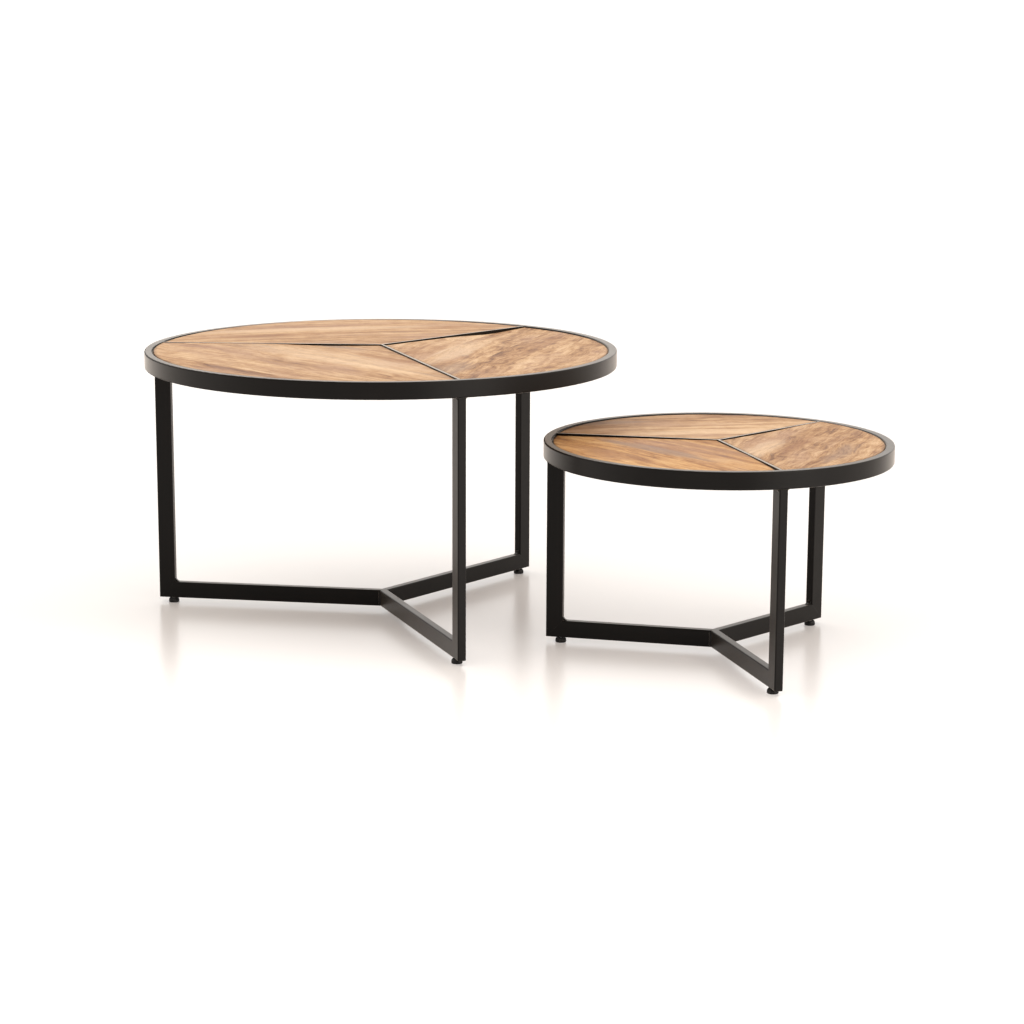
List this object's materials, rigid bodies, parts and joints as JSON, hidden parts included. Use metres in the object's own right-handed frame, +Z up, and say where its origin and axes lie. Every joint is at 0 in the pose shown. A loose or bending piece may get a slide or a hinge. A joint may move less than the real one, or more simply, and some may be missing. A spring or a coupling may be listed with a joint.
{
  "type": "nesting tables",
  "caption": "Nest of round coffee tables: black tube frames with Y stretchers and wedge-shaped wooden top panels; the lower table slides under the taller one.",
  "frame": {"origin": "middle of the nest's footprint, on the floor", "axes": "+X along the longest side of the footprint, from the large table towards the small one; +Y away from the viewer; +Z up"},
  "size_m": [1.233, 0.953, 0.4656],
  "materials": {
    "powder_coat": "satin black powder coat, fine orange peel",
    "powder_coat_rubbed": "black powder coat rubbed to grey steel along its upper edge",
    "wood_large": "reclaimed hardwood, warm tan with brown streaks, matt lacquer",
    "wood_small": "reclaimed hardwood, darker honey brown with brown streaks, matt lacquer",
    "glide_plastic": "black nylon, matt",
    "zinc_steel": "zinc-plated steel"
  },
  "bodies": {
    "large_table": {"large_rim_ring": "powder_coat", "large_ledge_ring": "powder_coat", "large_rim_welds": "powder_coat", "large_base_welds": "powder_coat", "large_panel_screws": "zinc_steel", "large_foot_nuts": "zinc_steel", "large_leg_left": "powder_coat", "large_stretcher_left": "powder_coat", "large_divider_left": "powder_coat_rubbed", "large_leg_front": "powder_coat", "large_stretcher_front": "powder_coat", "large_divider_front": "powder_coat_rubbed", "large_leg_right": "powder_coat", "large_stretcher_right": "powder_coat", "large_divider_right": "powder_coat_rubbed", "large_panel_front": "wood_large", "large_panel_right": "wood_large", "large_panel_back": "wood_large"},
    "small_table": {"small_rim_ring": "powder_coat", "small_ledge_ring": "powder_coat", "small_rim_welds": "powder_coat", "small_base_welds": "powder_coat", "small_panel_screws": "zinc_steel", "small_foot_nuts": "zinc_steel", "small_leg_left": "powder_coat", "small_stretcher_left": "powder_coat", "small_divider_left": "powder_coat_rubbed", "small_leg_front": "powder_coat", "small_stretcher_front": "powder_coat", "small_divider_front": "powder_coat_rubbed", "small_leg_right": "powder_coat", "small_stretcher_right": "powder_coat", "small_divider_right": "powder_coat_rubbed", "small_panel_front": "wood_small", "small_panel_right": "wood_small", "small_panel_back": "wood_small"},
    "large_foot_left": {"large_glide_base_left": "glide_plastic", "large_glide_stud_left": "zinc_steel"},
    "large_foot_front": {"large_glide_base_front": "glide_plastic", "large_glide_stud_front": "zinc_steel"},
    "large_foot_right": {"large_glide_base_right": "glide_plastic", "large_glide_stud_right": "zinc_steel"},
    "small_foot_left": {"small_glide_base_left": "glide_plastic", "small_glide_stud_left": "zinc_steel"},
    "small_foot_front": {"small_glide_base_front": "glide_plastic", "small_glide_stud_front": "zinc_steel"},
    "small_foot_right": {"small_glide_base_right": "glide_plastic", "small_glide_stud_right": "zinc_steel"}
  },
  "joints": [
    {"name": "small_table_nesting", "type": "slide", "parent": "large_table", "child": "small_table", "axis": [-0.7947, 0.607, 0], "range_m": [-0.25, 0.3341]},
    {"name": "large_foot_left_height", "type": "slide", "parent": "large_table", "child": "large_foot_left", "axis": [0, 0, -1], "range_m": [-0.0012, 0.008]},
    {"name": "large_foot_front_height", "type": "slide", "parent": "large_table", "child": "large_foot_front", "axis": [0, 0, -1], "range_m": [-0.0012, 0.008]},
    {"name": "large_foot_right_height", "type": "slide", "parent": "large_table", "child": "large_foot_right", "axis": [0, 0, -1], "range_m": [-0.0012, 0.008]},
    {"name": "small_foot_left_height", "type": "slide", "parent": "small_table", "child": "small_foot_left", "axis": [0, 0, -1], "range_m": [-0.0012, 0.008]},
    {"name": "small_foot_front_height", "type": "slide", "parent": "small_table", "child": "small_foot_front", "axis": [0, 0, -1], "range_m": [-0.0012, 0.008]},
    {"name": "small_foot_right_height", "type": "slide", "parent": "small_table", "child": "small_foot_right", "axis": [0, 0, -1], "range_m": [-0.0012, 0.008]}
  ]
}
